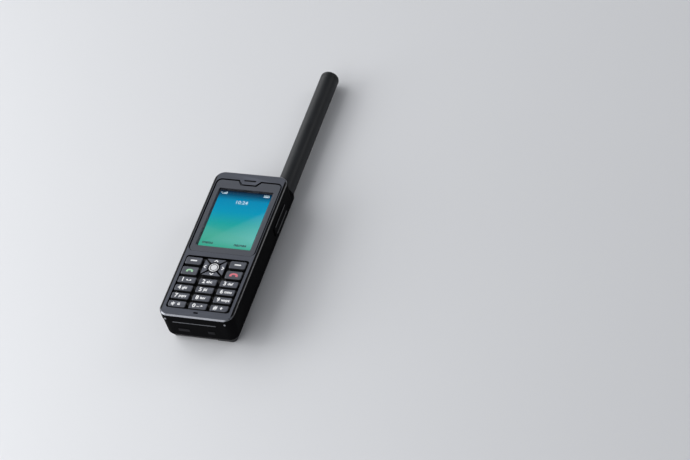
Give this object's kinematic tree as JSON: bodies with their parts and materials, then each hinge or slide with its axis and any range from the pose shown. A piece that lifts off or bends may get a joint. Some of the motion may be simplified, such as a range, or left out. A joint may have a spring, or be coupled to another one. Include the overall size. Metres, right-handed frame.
{
  "type": "satellite phone",
  "caption": "Handheld satellite phone with a pull-out antenna, colour display, direction pad, number keys, hinged port cover and sliding battery cover.",
  "frame": {"origin": "middle of the flat back of the body, without the antenna", "axes": "+X to the right seen from the front, +Y towards the earpiece and antenna, +Z out of the screen"},
  "size_m": [0.0538, 0.241, 0.0278],
  "materials": {
    "front_plastic": "satin charcoal",
    "rear_plastic": "fine texture, black",
    "key_plastic": "satin dark grey",
    "antenna_plastic": "matt black-grey",
    "lens_glass": "smoked gloss",
    "panel": "lit picture",
    "black_rubber": "matt",
    "side_plastic": "satin",
    "steel": "bright",
    "board": "green mask",
    "gold_contact": "gold plate",
    "patch_ceramic": "matt",
    "cell": "grey sleeve",
    "card": "white",
    "former": "plain"
  },
  "bodies": {
    "case": {"front_case": "front_plastic", "rear_case": "rear_plastic", "case_seal": "black_rubber", "case_screws": "steel", "dock_contacts": "gold_contact", "display_lens": "lens_glass", "lens_tape": "black_rubber", "lcd_panel": "panel", "lcd_frame": "steel", "earpiece_mesh": "steel", "earpiece": "side_plastic", "microphone": "steel", "mic_boot": "black_rubber", "loudspeaker": "side_plastic", "speaker_mesh": "steel", "keymat": "black_rubber", "dome_sheet": "steel", "main_pcb": "board", "shield_cans": "steel", "vibration_motor": "steel", "gps_patch": "patch_ceramic", "volume_switches": "side_plastic", "headset_jack": "side_plastic", "usb_socket": "steel", "battery_pack": "cell", "battery_contacts": "gold_contact", "sim_holder": "steel", "sim_card": "card", "antenna_bush": "side_plastic", "antenna_contact": "gold_contact", "volume_pin": "steel"},
    "antenna": {"antenna_tube": "antenna_plastic", "antenna_cap": "antenna_plastic", "antenna_core": "former", "antenna_collar": "gold_contact"},
    "battery_cover": {"battery_cover": "rear_plastic"},
    "port_cover": {"port_cover": "black_rubber"},
    "volume_rocker": {"volume_rocker": "side_plastic"},
    "soft_left": {"soft_left": "key_plastic"},
    "soft_right": {"soft_right": "key_plastic"},
    "call_key": {"call_key": "key_plastic"},
    "end_key": {"end_key": "key_plastic"},
    "key_1": {"key_1": "key_plastic"},
    "key_2": {"key_2": "key_plastic"},
    "key_3": {"key_3": "key_plastic"},
    "key_4": {"key_4": "key_plastic"},
    "key_5": {"key_5": "key_plastic"},
    "key_6": {"key_6": "key_plastic"},
    "key_7": {"key_7": "key_plastic"},
    "key_8": {"key_8": "key_plastic"},
    "key_9": {"key_9": "key_plastic"},
    "key_star": {"key_star": "key_plastic"},
    "key_0": {"key_0": "key_plastic"},
    "key_hash": {"key_hash": "key_plastic"},
    "nav_right": {"nav_right": "key_plastic"},
    "nav_up": {"nav_up": "key_plastic"},
    "nav_left": {"nav_left": "key_plastic"},
    "nav_down": {"nav_down": "key_plastic"},
    "nav_select": {"nav_select": "key_plastic"}
  },
  "joints": [
    {"name": "soft_left_press", "type": "slide", "parent": "case", "child": "soft_left", "axis": [0, 0, -1], "range_m": [0, 0.0004], "stiffness_N_per_m": 900},
    {"name": "soft_right_press", "type": "slide", "parent": "case", "child": "soft_right", "axis": [0, 0, -1], "range_m": [0, 0.0004], "stiffness_N_per_m": 900},
    {"name": "call_key_press", "type": "slide", "parent": "case", "child": "call_key", "axis": [0, 0, -1], "range_m": [0, 0.0004], "stiffness_N_per_m": 900},
    {"name": "end_key_press", "type": "slide", "parent": "case", "child": "end_key", "axis": [0, 0, -1], "range_m": [0, 0.0004], "stiffness_N_per_m": 900},
    {"name": "key_1_press", "type": "slide", "parent": "case", "child": "key_1", "axis": [0, 0, -1], "range_m": [0, 0.0004], "stiffness_N_per_m": 900},
    {"name": "key_2_press", "type": "slide", "parent": "case", "child": "key_2", "axis": [0, 0, -1], "range_m": [0, 0.0004], "stiffness_N_per_m": 900},
    {"name": "key_3_press", "type": "slide", "parent": "case", "child": "key_3", "axis": [0, 0, -1], "range_m": [0, 0.0004], "stiffness_N_per_m": 900},
    {"name": "key_4_press", "type": "slide", "parent": "case", "child": "key_4", "axis": [0, 0, -1], "range_m": [0, 0.0004], "stiffness_N_per_m": 900},
    {"name": "key_5_press", "type": "slide", "parent": "case", "child": "key_5", "axis": [0, 0, -1], "range_m": [0, 0.0004], "stiffness_N_per_m": 900},
    {"name": "key_6_press", "type": "slide", "parent": "case", "child": "key_6", "axis": [0, 0, -1], "range_m": [0, 0.0004], "stiffness_N_per_m": 900},
    {"name": "key_7_press", "type": "slide", "parent": "case", "child": "key_7", "axis": [0, 0, -1], "range_m": [0, 0.0004], "stiffness_N_per_m": 900},
    {"name": "key_8_press", "type": "slide", "parent": "case", "child": "key_8", "axis": [0, 0, -1], "range_m": [0, 0.0004], "stiffness_N_per_m": 900},
    {"name": "key_9_press", "type": "slide", "parent": "case", "child": "key_9", "axis": [0, 0, -1], "range_m": [0, 0.0004], "stiffness_N_per_m": 900},
    {"name": "key_star_press", "type": "slide", "parent": "case", "child": "key_star", "axis": [0, 0, -1], "range_m": [0, 0.0004], "stiffness_N_per_m": 900},
    {"name": "key_0_press", "type": "slide", "parent": "case", "child": "key_0", "axis": [0, 0, -1], "range_m": [0, 0.0004], "stiffness_N_per_m": 900},
    {"name": "key_hash_press", "type": "slide", "parent": "case", "child": "key_hash", "axis": [0, 0, -1], "range_m": [0, 0.0004], "stiffness_N_per_m": 900},
    {"name": "nav_right_press", "type": "slide", "parent": "case", "child": "nav_right", "axis": [0, 0, -1], "range_m": [0, 0.0004], "stiffness_N_per_m": 900},
    {"name": "nav_up_press", "type": "slide", "parent": "case", "child": "nav_up", "axis": [0, 0, -1], "range_m": [0, 0.0004], "stiffness_N_per_m": 900},
    {"name": "nav_left_press", "type": "slide", "parent": "case", "child": "nav_left", "axis": [0, 0, -1], "range_m": [0, 0.0004], "stiffness_N_per_m": 900},
    {"name": "nav_down_press", "type": "slide", "parent": "case", "child": "nav_down", "axis": [0, 0, -1], "range_m": [0, 0.0004], "stiffness_N_per_m": 900},
    {"name": "nav_select_press", "type": "slide", "parent": "case", "child": "nav_select", "axis": [0, 0, -1], "range_m": [0, 0.0004], "stiffness_N_per_m": 900},
    {"name": "antenna_slide", "type": "slide", "parent": "case", "child": "antenna", "axis": [0, 1, 0], "range_m": [-0.105, 0]},
    {"name": "volume_rock", "type": "hinge", "parent": "case", "child": "volume_rocker", "pos_m": [-0.0252, 0.03, 0.0156], "axis": [0, 0, 1], "range_deg": [-2.5, 2.5], "stiffness_Nm_per_rad": 0.3},
    {"name": "port_cover_swing", "type": "hinge", "parent": "case", "child": "port_cover", "pos_m": [0.0259, 0.0239, 0.0158], "axis": [0, 0, -1], "range_deg": [0, 100]},
    {"name": "battery_cover_slide", "type": "slide", "parent": "case", "child": "battery_cover", "axis": [0, -1, 0], "range_m": [0, 0.0696]}
  ]
}
